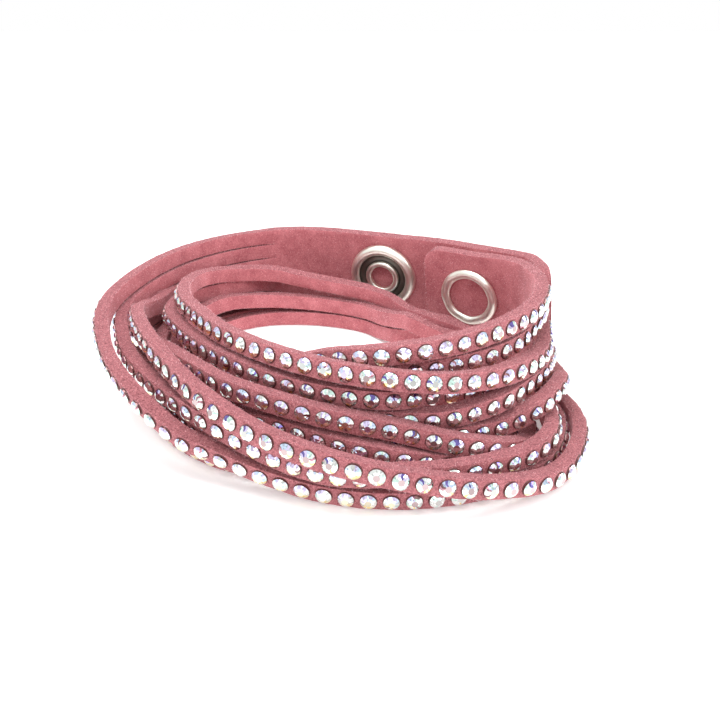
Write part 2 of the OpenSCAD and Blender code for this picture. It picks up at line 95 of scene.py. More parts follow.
# %% Routes of the six strands
# columns: angle in degrees, radius and height in millimetres, lean in degrees
ANGLE, RADIUS = 0, 1
STRAND_ROUTES = [
    # strand 1: outermost at the left, lowest front row, along the inside floor, back as the top front row
    [[123, 32.3, 14.2, 0], [140, 32.5, 14.0, 0], [160, 32.3, 13.45, 0], [185, 32.9, 11.9, 0],
     [200, 32.2, 10.6, -5], [220, 31.8, 8.6, -10], [230, 31.3, 6.5, -10], [236, 30.9, 5.1, -10],
     [242, 30.3, 4.3, -10], [255, 30.2, 2.8, -10], [270, 31.1, 1.4, -5], [285, 33.3, 1.4, -5],
     [300, 35.0, 1.4, 0], [312, 36.0, 1.4, 0], [324, 34.9, 1.4, 0], [336, 32.4, 1.4, 0],
     [342, 30.3, 1.4, 0], [348, 28.1, 1.6, 0], [354, 26.1, 3.4, 0], [358, 24.9, 4.0, 0],
     [372, 20.9, 4.0, 0], [386, 17.6, 4.0, 0], [392, 16.5, 4.0, 0], [398, 15.4, 3.4, 0],
     [410, 14.9, 2.6, 0], [423, 16.6, 1.7, 0], [436, 19.0, 1.4, 0], [453, 21.2, 1.4, 0],
     [466, 23.1, 1.4, 0], [485, 25.8, 1.4, 0], [500, 26.3, 1.5, 0], [512, 24.8, 2.2, 0],
     [518, 23.5, 3.4, 0], [525, 22.6, 4.6, 0], [537, 21.4, 5.8, 0], [560, 20.2, 7.0, 0],
     [580, 19.4, 7.7, 0], [600, 18.4, 8.6, 0], [615, 18.9, 11.0, 0], [630, 21.0, 13.3, 5],
     [645, 23.7, 14.6, 5], [672, 26.0, 15.2, 8], [684, 27.0, 15.4, 5], [696, 28.0, 15.5, 0],
     [720, 29.0, 15.5, 0]],
    # strand 2: second at the left, above strand 1 in front, inside wall at the back, second front row
    [[123, 32.2, 11.65, 0], [140, 32.1, 11.4, 0], [160, 31.9, 10.86, 0], [172, 31.9, 10.2, 0],
     [180, 31.3, 9.7, 0], [190, 30.15, 9.5, 0], [200, 29.6, 9.2, 0], [220, 28.6, 8.3, 0],
     [230, 28.5, 7.9, 0], [242, 29.0, 7.1, 0], [255, 29.8, 5.5, 0], [270, 31.4, 4.1, 0],
     [285, 32.9, 4.1, 0], [300, 34.8, 4.1, 0], [312, 35.8, 4.1, 0], [318, 35.3, 4.1, 0],
     [330, 31.8, 4.0, 0], [342, 27.4, 4.0, 0], [354, 23.1, 4.0, 0], [366, 19.6, 4.3, 0],
     [372, 17.9, 4.6, 0], [379, 16.2, 5.2, 0], [386, 14.8, 5.8, 0], [392, 14.0, 6.2, 0],
     [398, 14.1, 6.1, 0], [410, 14.5, 5.4, 0], [423, 16.3, 4.5, 0], [436, 18.9, 4.1, 0],
     [453, 21.2, 4.1, 0], [466, 23.2, 4.3, 0], [485, 25.9, 5.0, 0], [500, 26.2, 5.9, 0],
     [512, 25.8, 5.9, 0], [518, 25.8, 5.7, 0], [525, 25.5, 5.0, 0], [537, 24.2, 3.8, 0],
     [545, 22.9, 2.8, 0], [560, 22.0, 1.6, 0], [580, 21.4, 2.0, 0], [592, 20.7, 3.5, 0],
     [605, 20.1, 5.6, 0], [618, 19.6, 7.8, 0], [645, 22.9, 11.8, 5], [660, 24.8, 12.3, 8],
     [684, 27.3, 12.7, 5], [696, 27.7, 12.8, 0], [720, 29.2, 12.9, 0]],
    # strand 3: outside at the front right, top of the inside wall at the back, third front row
    [[123, 32.0, 9.1, 0], [140, 31.8, 8.9, 0], [150, 31.2, 8.65, 0], [157, 30.15, 8.9, 0],
     [165, 29.2, 9.2, 0], [173, 29.2, 10.0, 0], [181, 28.7, 10.9, 0], [190, 27.75, 11.3, 0],
     [200, 27.0, 11.6, 0], [220, 27.1, 11.2, 5], [240, 29.0, 10.0, 8], [255, 30.9, 8.3, 10],
     [270, 33.3, 6.9, 10], [285, 35.7, 5.2, 10], [300, 37.8, 3.2, 5], [312, 38.6, 1.8, 0],
     [324, 37.5, 1.5, 0], [336, 35.2, 1.4, 0], [342, 33.2, 1.4, 0], [348, 31.0, 1.4, 0],
     [354, 28.9, 1.5, 0], [360, 27.3, 2.2, 0], [366, 25.8, 3.6, 0], [372, 23.9, 4.1, 0],
     [386, 20.5, 4.5, 0], [398, 18.6, 5.0, 0], [410, 17.5, 5.65, 0], [423, 19.0, 6.3, 0],
     [436, 20.3, 6.9, 8], [453, 21.9, 7.5, 12], [466, 24.4, 8.1, 12], [475, 26.4, 8.9, 10],
     [487, 28.2, 9.5, 8], [503, 27.9, 10.7, 5], [520, 25.0, 11.8, 5], [537, 22.3, 12.5, 5],
     [560, 19.5, 13.0, 5], [580, 19.3, 13.25, 10], [600, 20.2, 13.4, 15], [615, 21.9, 13.5, 15],
     [630, 24.1, 13.3, 15], [645, 26.7, 12.9, 15], [660, 28.4, 11.9, 12], [684, 30.0, 10.8, 5],
     [696, 29.9, 10.2, 0], [708, 29.4, 10.4, 0], [720, 29.7, 10.4, 0]],
    # strand 4: inside the front left, low at the right, hidden behind the inside wall, fourth front row
    [[123, 31.9, 6.55, 0], [140, 31.7, 6.4, 0], [150, 31.8, 6.25, 0], [165, 32.0, 6.2, 0],
     [175, 30.8, 6.7, 0], [185, 28.0, 7.75, 0], [200, 25.0, 8.8, 0], [220, 24.0, 9.8, 0],
     [240, 24.8, 9.8, 5], [255, 25.6, 9.5, 5], [270, 26.6, 8.5, 5], [285, 28.3, 7.3, 5],
     [300, 32.2, 5.5, 5], [312, 33.2, 3.3, 0], [318, 32.6, 2.2, 0], [324, 31.1, 1.4, 0],
     [336, 27.0, 1.4, 0], [348, 23.5, 1.4, 0], [354, 23.2, 1.4, 0], [372, 23.1, 1.4, 0],
     [376, 23.1, 1.4, 0], [384, 23.2, 2.05, 0], [392, 22.7, 3.5, 0], [399, 21.4, 4.0, 0],
     [410, 20.3, 4.1, 0], [423, 21.6, 4.1, 0], [436, 24.2, 4.0, 0], [453, 26.3, 4.0, 0],
     [464, 28.0, 4.9, 0], [472, 28.8, 6.0, 0], [482, 29.0, 6.8, 0], [500, 28.9, 7.6, 0],
     [510, 28.5, 8.0, 0], [525, 26.2, 9.1, 0], [537, 24.4, 9.9, 0], [560, 21.2, 10.2, 0],
     [580, 20.6, 10.75, 0], [600, 21.3, 10.9, 0], [615, 22.5, 10.7, 0], [630, 23.9, 10.3, 0],
     [645, 25.8, 10.05, 0], [660, 26.0, 9.4, 0], [672, 27.4, 8.8, 0], [696, 27.5, 7.7, 0],
     [708, 27.7, 7.8, 0], [714, 28.4, 8.0, 0], [720, 29.5, 7.9, 0]],
    # strand 5: inner floor of the left and the front, hidden at the back, fifth front row
    [[123, 31.8, 4.0, 0], [140, 31.7, 3.9, 0], [160, 32.0, 3.7, 0], [168, 31.9, 3.7, 0],
     [177, 30.6, 4.4, 0], [185, 28.9, 4.9, 0], [200, 26.9, 5.6, 0], [220, 25.6, 6.4, 0],
     [240, 25.4, 6.2, 0], [255, 25.4, 6.4, 0], [270, 27.2, 5.7, 0], [285, 30.0, 4.6, 5],
     [300, 31.6, 2.9, 5], [306, 31.3, 1.8, 0], [312, 30.6, 1.4, 0], [324, 28.2, 1.4, 0],
     [336, 24.0, 1.4, 0], [348, 20.8, 1.4, 0], [354, 20.6, 1.4, 0], [372, 20.6, 1.4, 0],
     [386, 20.4, 1.4, 0], [398, 20.3, 1.4, 0], [410, 20.2, 1.4, 0], [423, 22.0, 1.4, 0],
     [436, 24.2, 1.4, 0], [453, 26.3, 1.4, 0], [458, 27.2, 1.6, 0], [464, 28.2, 2.4, 0],
     [472, 28.8, 3.5, 0], [482, 28.9, 4.2, 0], [500, 28.9, 4.5, 0], [512, 28.7, 4.8, 0],
     [525, 28.0, 4.8, 0], [537, 26.8, 4.8, 0], [545, 25.7, 5.0, 0], [560, 24.2, 5.6, 0],
     [580, 22.9, 6.3, 0], [600, 22.9, 6.6, 0], [615, 22.8, 7.3, 0], [630, 23.7, 7.5, 0],
     [645, 25.5, 7.35, 0], [656, 28.0, 7.52, 0], [672, 30.1, 8.35, 0], [680, 30.0, 8.3, 0],
     [688, 30.1, 8.1, 0], [696, 30.2, 7.7, 0], [704, 30.2, 7.1, 0], [712, 30.6, 6.25, 0],
     [720, 31.0, 5.2, 0]],
    # strand 6: along the floor almost all the way, then the lowest of the crossing rows at the right
    [[123, 31.7, 1.5, 0], [140, 31.6, 1.35, 0], [160, 31.9, 1.3, 0], [168, 31.7, 1.3, 0],
     [177, 30.3, 1.4, 0], [187, 28.7, 1.4, 0], [200, 27.7, 1.4, 0], [220, 27.4, 1.4, 0],
     [240, 27.5, 1.4, 0], [255, 27.4, 1.4, 0], [270, 28.2, 1.4, 0], [285, 29.6, 1.4, 0],
     [300, 28.8, 1.4, 0], [312, 27.8, 1.4, 0], [324, 25.1, 1.4, 0], [336, 20.9, 1.4, 0],
     [348, 18.1, 1.4, 0], [354, 18.0, 1.4, 0], [372, 18.1, 1.4, 0], [398, 17.9, 1.4, 0],
     [410, 17.7, 1.4, 0], [423, 19.4, 1.4, 0], [436, 21.6, 1.4, 0], [453, 23.7, 1.4, 0],
     [466, 25.6, 1.4, 0], [475, 26.9, 1.4, 0], [485, 28.4, 1.4, 0], [500, 28.9, 1.4, 0],
     [525, 27.8, 1.4, 0], [545, 25.7, 1.4, 0], [560, 24.8, 1.4, 0], [600, 24.9, 1.6, 0],
     [615, 24.8, 2.4, 0], [630, 24.8, 3.4, 0], [645, 26.3, 4.2, 0], [660, 28.66, 5.15, 0],
     [672, 30.9, 5.45, 0], [680, 32.4, 6.35, 0], [688, 32.7, 6.6, 0], [696, 32.7, 6.2, 0],
     [704, 32.2, 4.6, 0], [712, 31.45, 3.8, 0], [720, 31.6, 2.5, 0]]]
LANES = len(STRAND_ROUTES)
print("rows a strand:", [len(route) for route in STRAND_ROUTES])

# %% The two tabs, as the route of the strap's top strand
OUTER_TAB = [
    [8, 31.6, 14.4, 6], [16, 32.6, 14.4, 8], [24, 33.0, 14.4, 10], [28, 31.8, 14.4, 10],
    [32, 30.7, 14.4, 10], [40, 29.0, 14.4, 10], [48, 28.1, 14.4, 10], [56, 27.3, 14.4, 10],
    [64, 26.65, 14.4, 10], [72, 26.55, 14.4, 10], [80, 27.0, 14.4, 10], [94, 29.0, 14.4, 8],
    [108, 31.1, 14.4, 4]]
INNER_TAB = [
    [726, 29.1, 15.3, 6], [736, 29.3, 14.9, 8], [744, 28.2, 14.6, 10], [752, 26.0, 14.4, 10],
    [760, 24.6, 14.4, 10], [765, 24.0, 14.4, 10], [772, 23.5, 14.4, 10]]
STRAND_PITCH = 2.55


def lane_of_tab(tab, lane):
    drop = lane * STRAND_PITCH
    return [[a, r + drop * math.tan(math.radians(lean)), z - drop, lean] for a, r, z, lean in tab]


lane_tables = []
for lane in range(LANES):
    table = lane_of_tab(OUTER_TAB, lane) + STRAND_ROUTES[lane] + lane_of_tab(INNER_TAB, lane)
    lane_tables.append(np.array(table, float))
print("rows with the tabs:", [len(t) for t in lane_tables])

# %% [markdown]
# ## A smooth line through the rows
# Straight pieces between rows would show as corners in the suede. A cubic curve through the rows, with the
# slope at each row taken from its two neighbours, stays close to them and has no corners.
# From the curve come three directions at every point: along the strand, out of its face, and up its face.

# %% Smooth values between the rows
def route_values(table, angles):
    """Radius, height and lean of a strand at some angles."""
    x = table[:, ANGLE]
    i = np.clip(np.searchsorted(x, angles, side="right") - 1, 0, len(x) - 2)
    step = np.diff(x)
    h = step[i][:, None]
    s = ((angles - x[i]) / step[i])[:, None]
    y = table[:, RADIUS:]
    rise = np.diff(y, axis=0) / step[:, None]
    slope = np.vstack([rise[:1], rise[:1], rise[1:]])
    before, after = step[:-1, None], step[1:, None]
    slope[1:-1] = (rise[:-1] * after + rise[1:] * before) / (before + after)
    slope[-1] = rise[-1]
    return ((2 * s**3 - 3 * s**2 + 1) * y[i] + (s**3 - 2 * s**2 + s) * h * slope[i]
            + (3 * s**2 - 2 * s**3) * y[i + 1] + (s**3 - s**2) * h * slope[i + 1])


FRONT = np.array([270.0])
print("front radius, height and lean:", [route_values(t, FRONT)[0].round(1).tolist() for t in lane_tables])

# %% Places and directions along a strand
STRAP_START, STRAP_END = 8.0, 772.0
MIDDLE_LANE = 2
MEASURING_POINTS = 2000
# the CAD model is moved so that its box is centred over the origin
CAD_SHIFT = np.array([0.08, 2.02, -0.067])


def route_spot(table, angles):
    radius, height, lean = route_values(table, angles).T
    turn = np.radians(angles)
    return np.stack([radius * np.cos(turn), radius * np.sin(turn), height], 1) + CAD_SHIFT, np.radians(lean)


def unit(v):
    return v / np.linalg.norm(v, axis=1)[:, None]


def route_frame(table, angles):
    """The middle of the strand, and its directions along, out of the face and up the face."""
    angles = np.asarray(angles, float)
    spot, lean = route_spot(table, angles)
    ahead = route_spot(table, np.minimum(angles + 1, STRAP_END))[0]
    behind = route_spot(table, np.maximum(angles - 1, STRAP_START))[0]
    along = unit(ahead - behind)
    level = unit(np.stack([along[:, 1], -along[:, 0], 0 * along[:, 0]], 1))
    steep = np.cross(level, along)
    outward = level * np.cos(lean)[:, None] + steep * np.sin(lean)[:, None]
    return spot, along, outward, np.cross(outward, along)


whole = route_spot(lane_tables[MIDDLE_LANE], np.linspace(STRAP_START, STRAP_END, MEASURING_POINTS))[0]
print("strap length:", round(float(np.linalg.norm(np.diff(whole, axis=0), axis=1).sum()), 1), "mm")

# %% [markdown]
# ## The suede strap as one mesh
# The strap is cut from one strip, so it is one closed mesh. Every cross-section has six lanes side by side.
# In the tabs neighbouring lanes share their edge points, and between the slits each lane closes on its own.
# The points where a slit starts belong to both lanes. That keeps the mesh closed there, as real suede is.

# %% Cross-sections, closer together where the tab ends are rounded
SLIT_START, SLIT_END = 112.0, 720.0
SECTION_STEP = 1.3
# degrees from a tab's end; the inner tab lies nearer the middle of the loop, so its steps are larger angles
END_STEPS = np.array([0.0, 0.15, 0.4, 0.8, 1.4, 2.2, 3.2, 4.4, 5.8])
INNER_END_SCALE = 1.3
OUTER_END, INNER_END = 7, 9
middle = np.arange(STRAP_START + OUTER_END, STRAP_END - INNER_END, SECTION_STEP)
stations = np.unique(np.concatenate([
    STRAP_START + END_STEPS, middle, [SLIT_START, SLIT_END], STRAP_END - INNER_END_SCALE * END_STEPS]))
frames = [route_frame(table, stations) for table in lane_tables]
print(len(stations), "cross-sections")

# %% Corner rounding of the tabs and opening of the slits
TAB_CORNER = 3.0
STRAND_WIDTH = 2.35
SLIT_OPENS_OVER = 5
middle_spot = frames[MIDDLE_LANE][0]
to_end = np.minimum(np.linalg.norm(middle_spot - middle_spot[0], axis=1),
                    np.linalg.norm(middle_spot - middle_spot[-1], axis=1))
corner = np.clip(TAB_CORNER - to_end, 0, TAB_CORNER)
half_tab = LANES * STRAND_PITCH / 2
fullness = 1 - (TAB_CORNER - np.sqrt(TAB_CORNER**2 - corner**2)) / half_tab
into_slit = np.clip(np.minimum(stations - SLIT_START, SLIT_END - stations) / SLIT_OPENS_OVER, 0, 1)
half_lane = STRAND_PITCH / 2 + (STRAND_WIDTH - STRAND_PITCH) / 2 * into_slit
print("tab width", round(2 * half_tab, 2), "mm, strands", round(2 * half_lane.min(), 2), "mm")

# %% Points of the cross-sections
ACROSS = np.array([-1, -1 / 3, 1 / 3, 1])
BOTTOM, TOP = 0, 3
STRAP_THICKNESS = 1.7
HALF = STRAP_THICKNESS / 2
outer_face = np.zeros((LANES, len(stations), len(ACROSS), 3))
inner_face = np.zeros((LANES, len(stations), len(ACROSS), 3))
for lane in range(LANES):
    spot, along, outward, upward = frames[lane]
    for j, v in enumerate(ACROSS):
        rise = upward * (half_lane * v)[:, None]
        outer_face[lane, :, j] = spot + rise + outward * HALF
        inner_face[lane, :, j] = spot + rise - outward * HALF
print("points on each face:", outer_face[..., 0].size)

# %% Join the lanes of the tabs and round the tab ends
in_tab = (stations <= SLIT_START) | (stations >= SLIT_END)
for face in (outer_face, inner_face):
    for lane in range(LANES - 1):
        shared = (face[lane, :, BOTTOM] + face[lane + 1, :, TOP]) / 2
        face[lane, in_tab, BOTTOM] = shared[in_tab]
        face[lane + 1, in_tab, TOP] = shared[in_tab]
    centre = face[MIDDLE_LANE, :, BOTTOM].copy()
    face[:, in_tab] = centre[None, in_tab, None] + (face[:, in_tab] - centre[None, in_tab, None]) * \
        fullness[None, in_tab, None, None]
print(int(in_tab.sum()), "cross-sections in the tabs")

# %% Number the points as they are needed
FACES = {"outer": outer_face, "inner": inner_face}
points = []
number = {}


def point_number(station, lane, kind, j=BOTTOM):
    """Numbers a point once. In a tab the top of a lane is the bottom of the lane above it."""
    at_top = kind == "top" or (kind in FACES and j == TOP)
    if in_tab[station] and lane > 0 and at_top:
        lane, kind, j = lane - 1, ("bottom" if kind == "top" else kind), BOTTOM
    key = (station, lane, kind, j)
    if key not in number:
        number[key] = len(points)
        if kind in FACES:
            points.append(FACES[kind][lane, station, j])
        else:
            at = TOP if kind == "top" else BOTTOM
            points.append((outer_face[lane, station, at] + inner_face[lane, station, at]) / 2)
    return number[key]


def loop_of(station, lane):
    """The lane's outline: up the outer face, over the top, down the inner face, under the bottom."""
    up = [point_number(station, lane, "outer", j) for j in range(TOP + 1)]
    down = [point_number(station, lane, "inner", j) for j in range(TOP, -1, -1)]
    return up + [point_number(station, lane, "top")] + down + [point_number(station, lane, "bottom")]


print("points in the first outline:", loop_of(0, 0))

# %% Faces along every lane
OUTSIDE, CUT, INSIDE = 0, 1, 2
FINISH_OF_SIDE = [OUTSIDE] * 3 + [CUT] * 2 + [INSIDE] * 3 + [CUT] * 2
TOP_SIDES, BOTTOM_SIDES = (3, 4), (8, 9)
quads, finish_of = [], []
for s in range(len(stations) - 1):
    whole_here = in_tab[s] and in_tab[s + 1]
    for lane in range(LANES):
        a, b = loop_of(s, lane), loop_of(s + 1, lane)
        for side, finish in enumerate(FINISH_OF_SIDE):
            inside_tab = (side in TOP_SIDES and lane > 0) or (side in BOTTOM_SIDES and lane < LANES - 1)
            if whole_here and inside_tab:
                continue
            nxt = (side + 1) % len(FINISH_OF_SIDE)
            quads.append((a[side], b[side], b[nxt], a[nxt]))
            finish_of.append(finish)
print(len(points), "points,", len(quads), "faces")

# %% Close the two tab ends
for s, turned in ((0, False), (len(stations) - 1, True)):
    for lane in range(LANES):
        for j in range(TOP):
            cap = [point_number(s, lane, "outer", j), point_number(s, lane, "outer", j + 1),
                   point_number(s, lane, "inner", j + 1), point_number(s, lane, "inner", j)]
            if lane == 0 and j == TOP - 1:
                cap.insert(2, point_number(s, lane, "top"))
            if lane == LANES - 1 and j == BOTTOM:
                cap.append(point_number(s, lane, "bottom"))
            quads.append(tuple(reversed(cap)) if turned else tuple(cap))
            finish_of.append(CUT)

strap_mesh = bpy.data.meshes.new("suede_strap")
strap_mesh.from_pydata((np.array(points) * MM).tolist(), [], quads)
strap_mesh.polygons.foreach_set("material_index", finish_of)
strap_mesh.validate()
strap = add_object("suede_strap", strap_mesh)
print("strap faces:", len(strap_mesh.polygons))

# %% [markdown]
# ## Soft edges
# Cut suede has no sharp corner: its edge is rounded and a little ragged. A Bevel modifier that works by
# angle rounds all edges of the strap and the ends of the slits at once. Then every point moves a little by
# smooth noise, which gives the uneven edge of a hand-cut strap that a shader alone can't show in its outline.

# %% Round the edges
EDGE_ROUNDING = 0.28 * MM
SHARP_ANGLE = math.radians(50)


def bake_modifiers(obj):
    graph = bpy.context.evaluated_depsgraph_get()
    mesh = bpy.data.meshes.new_from_object(obj.evaluated_get(graph))
    obj.modifiers.clear()
    obj.data = mesh
    return mesh


bevel = strap.modifiers.new("rounded edges", "BEVEL")
bevel.width = EDGE_ROUNDING
bevel.segments = 2
bevel.limit_method = "ANGLE"
bevel.angle_limit = SHARP_ANGLE
bevel.use_clamp_overlap = True
strap_mesh = bake_modifiers(strap)
print("strap faces after rounding:", len(strap_mesh.polygons))

# %% Roughen the suede
# waves in a metre and height in millimetres
UNEVEN_WAVES = ((900, 0.05), (2600, 0.035))
count = len(strap_mesh.vertices)
place = np.empty(count * 3)
normal = np.empty(count * 3)
strap_mesh.vertices.foreach_get("co", place)
strap_mesh.vertex_normals.foreach_get("vector", normal)
place, normal = place.reshape(-1, 3), normal.reshape(-1, 3)
uneven = np.array([sum(noise.noise(p * waves) * height for waves, height in UNEVEN_WAVES)
                   for p in map(Vector, place)])
strap_mesh.vertices.foreach_set("co", (place + normal * uneven[:, None] * MM).ravel())
strap_mesh.polygons.foreach_set("use_smooth", [True] * len(strap_mesh.polygons))
strap_mesh.update()
print("points move by up to", round(float(abs(uneven).max()), 3), "mm")

# %% [markdown]
# ## Suede
# Suede is a short nap of fine fibres. It shows soft blotches where the nap lies one way or the other, a fine
# mottled grain, and a pale bloom at grazing angles, which is sheen. The outer face is the roughest, the cut
# edges are darker, and the inner face is smoother and brighter. All three have the grain, so it is a node
# group with named inputs, built once.

# %% A node group for the nap
NAP_LOW, NAP_HIGH = 0.34, 0.66
# a Mix node lists its sockets for all its types, so they are told apart by number
MIX_FACTOR, NUMBER_A, NUMBER_B, COLOUR_A, COLOUR_B = 0, 2, 3, 6, 7
NUMBER_RESULT, COLOUR_RESULT = 0, 2


def add_input(group, name, value, low=0.0, high=1000.0):
    socket = group.interface.new_socket(name, in_out="INPUT", socket_type="NodeSocketFloat")
    socket.default_value, socket.min_value, socket.max_value = value, low, high


def set_inputs(node, values):
    for name, value in values.items():
        node.inputs[name].default_value = value


def make_short_nap():
    group = bpy.data.node_groups.new("short_nap", "ShaderNodeTree")
    add_input(group, "Grain Size mm", 0.35)
    add_input(group, "Blotch Size mm", 2.5)
    add_input(group, "Grain Strength", 0.6, 0, 1)
    group.interface.new_socket("Lightness", in_out="OUTPUT", socket_type="NodeSocketFloat")
    group.interface.new_socket("Fibre Height", in_out="OUTPUT", socket_type="NodeSocketFloat")
    nodes, links = group.nodes, group.links
    into, out = nodes.new("NodeGroupInput"), nodes.new("NodeGroupOutput")
    place = nodes.new("ShaderNodeTexCoord")

    def noise_of(size, look):
        per_metre = nodes.new("ShaderNodeMath")
        per_metre.operation = "DIVIDE"
        per_metre.inputs[0].default_value = 1000
        links.new(into.outputs[size], per_metre.inputs[1])
        texture = nodes.new("ShaderNodeTexNoise")
        set_inputs(texture, look)
        links.new(place.outputs["Object"], texture.inputs["Vector"])
        links.new(per_metre.outputs[0], texture.inputs["Scale"])
        return texture.outputs["Fac"]

    grain = noise_of("Grain Size mm", {"Detail": 4, "Roughness": 0.7, "Distortion": 0.8})
    blotch = noise_of("Blotch Size mm", {"Detail": 3, "Roughness": 0.55, "Distortion": 0.3})
    mix = nodes.new("ShaderNodeMix")
    links.new(into.outputs["Grain Strength"], mix.inputs[MIX_FACTOR])
    links.new(blotch, mix.inputs[NUMBER_A])
    links.new(grain, mix.inputs[NUMBER_B])
    spread = nodes.new("ShaderNodeMapRange")
    set_inputs(spread, {"From Min": NAP_LOW, "From Max": NAP_HIGH})
    links.new(mix.outputs[NUMBER_RESULT], spread.inputs["Value"])
    links.new(spread.outputs["Result"], out.inputs["Lightness"])
    links.new(grain, out.inputs["Fibre Height"])
    return group


short_nap = make_short_nap()
print("group sockets:", [s.name for s in short_nap.interface.items_tree])

# %% Materials with plain values and the suede
def new_material(name, finish):
    """A material and its parts. finish holds the shader's values that are the same all over."""
    material = bpy.data.materials.new(name)
    material.use_nodes = True
    nodes = material.node_tree.nodes
    set_inputs(nodes["Principled BSDF"], finish)
    return material, nodes, material.node_tree.links, nodes["Principled BSDF"]


def make_suede(name, dark, light, grain_mm, blotch_mm, strength, depth_mm, sheen):
    material, nodes, links, shader = new_material(name, {
        "Roughness": 0.95, "Specular IOR Level": 0.2, "Sheen Weight": sheen, "Sheen Roughness": 0.5,
        "Sheen Tint": (1.0, 0.72, 0.76, 1)})
    nap = nodes.new("ShaderNodeGroup")
    nap.node_tree = short_nap
    set_inputs(nap, {"Grain Size mm": grain_mm, "Blotch Size mm": blotch_mm, "Grain Strength": strength})
    colour = nodes.new("ShaderNodeMix")
    colour.data_type = "RGBA"
    colour.inputs[COLOUR_A].default_value = (*dark, 1)
    colour.inputs[COLOUR_B].default_value = (*light, 1)
    links.new(nap.outputs["Lightness"], colour.inputs[MIX_FACTOR])
    links.new(colour.outputs[COLOUR_RESULT], shader.inputs["Base Color"])
    bump = nodes.new("ShaderNodeBump")
    set_inputs(bump, {"Strength": 0.8, "Distance": depth_mm * MM})
    links.new(nap.outputs["Fibre Height"], bump.inputs["Height"])
    links.new(bump.outputs["Normal"], shader.inputs["Normal"])
    return material


print("every suede finish takes its grain from the group", short_nap.name)

# %% The strap's three finishes
# name, dark, light, grain mm, blotch mm, grain strength, bump depth mm, sheen
SUEDES = [
    ["suede_outside", (0.23, 0.056, 0.068), (0.70, 0.265, 0.286), 0.24, 2.0, 0.85, 0.16, 0.2],
    ["suede_cut_edge", (0.13, 0.031, 0.039), (0.54, 0.202, 0.219), 0.24, 1.6, 0.9, 0.18, 0.15],
    ["suede_inside", (0.34, 0.083, 0.098), (0.65, 0.236, 0.257), 0.24, 3.0, 0.6, 0.08, 0.25]]
for row in SUEDES:
    strap_mesh.materials.append(make_suede(*row))
faces_with = [sum(p.material_index == i for p in strap_mesh.polygons) for i in range(len(SUEDES))]
print("suede finishes:", [m.name for m in strap_mesh.materials], "on", faces_with, "faces")
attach(strap, "root")
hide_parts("strap")

# %% [markdown]
# ## Loose fibres
# Brushed leather is fuzzy: single fibres stand off the face and catch the light, most clearly along the
# outline. A hair system would stay out of the exported model, so each fibre here is one long thin triangle
# that starts on the suede. Faces are drawn at random by a low power of their area, so the narrow faces of
# the rounded edges get more fibres for their size.

# %% Where the fibres start
FIBRES = 110000
FIBRE_SEED = 5
EDGE_BIAS = 0.25

strap_mesh.calc_loop_triangles()
triangles = np.empty(len(strap_mesh.loop_triangles) * 3, int)
strap_mesh.loop_triangles.foreach_get("vertices", triangles)
at = np.empty(len(strap_mesh.vertices) * 3)
strap_mesh.vertices.foreach_get("co", at)
a, b, c = at.reshape(-1, 3)[triangles.reshape(-1, 3)].transpose(1, 0, 2)
facing = np.cross(b - a, c - a)
area = np.linalg.norm(facing, axis=1)
draw = np.random.default_rng(FIBRE_SEED)
chance = area**EDGE_BIAS
pick = draw.choice(len(area), FIBRES, p=chance / chance.sum())
share = draw.random((FIBRES, 2))
share = np.where(share.sum(1, keepdims=True) > 1, 1 - share, share)
root = a[pick] + (b - a)[pick] * share[:, :1] + (c - a)[pick] * share[:, 1:]
print(FIBRES, "fibres on", len(area), "triangles")

# %% The fibres as thin triangles
FIBRE_LENGTH = (0.12, 0.34)
FIBRE_WIDTH = 0.035
FIBRE_SPREAD = 0.7
stand = unit(facing[pick]) + draw.normal(0, FIBRE_SPREAD, (FIBRES, 3))
across = unit(np.cross(stand, draw.normal(0, 1, (FIBRES, 3)))) * FIBRE_WIDTH * MM / 2
tip = root + unit(stand) * draw.uniform(*FIBRE_LENGTH, (FIBRES, 1)) * MM
corners = np.stack([root - across, root + across, tip], 1).reshape(-1, 3)

fibre_mesh = bpy.data.meshes.new("suede_fibres")
fibre_mesh.from_pydata(corners.tolist(), [], np.arange(FIBRES * 3).reshape(-1, 3).tolist())
fibres = add_object("suede_fibres", fibre_mesh)
fibre_mesh.materials.append(new_material("suede_fibre", {
    "Base Color": (0.90, 0.56, 0.59, 1), "Roughness": 0.9})[0])
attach(fibres, "root")
print("fibre faces:", len(fibre_mesh.polygons))

# %% [markdown]
# ## The stones
# Each stone is a small round flat-back crystal: a small flat table on top, then two bands of triangular
# facets down to a thin girdle. It is built once as points and facets, and copied along each strand at the
# real spacing. The rings of points are staggered, which is what makes the facets triangles.

# %% One faceted stone, lying on its flat back
STONE_RADIUS = 0.93
STONE_SIDES = 16
# radius and height in millimetres, and how far the ring is turned, in steps
STONE_RINGS = [(0.37, 0.60, 0.0), (0.66, 0.50, 0.5), (STONE_RADIUS, 0.26, 0.0), (STONE_RADIUS, 0.0, 0.0)]


def stone_ring(radius, height, stagger):
    turns = [math.tau * (i + stagger) / STONE_SIDES for i in range(STONE_SIDES)]
    return [(radius * math.cos(t), radius * math.sin(t), height) for t in turns]


def staggered_band(upper, lower, lower_ahead):
    """Triangles between two rings of which one is half a step ahead of the other."""
    out = []
    for i in range(STONE_SIDES):
        nxt = (i + 1) % STONE_SIDES
        if lower_ahead:
            out += [(upper + i, lower + i, upper + nxt), (upper + nxt, lower + i, lower + nxt)]
        else:
            out += [(upper + i, lower + i, lower + nxt), (upper + i, lower + nxt, upper + nxt)]
    return out


def straight_band(upper, lower):
    """Four-sided faces between two rings that aren't staggered."""
    steps = [(i, (i + 1) % STONE_SIDES) for i in range(STONE_SIDES)]
    return [(upper + i, lower + i, lower + nxt, upper + nxt) for i, nxt in steps]


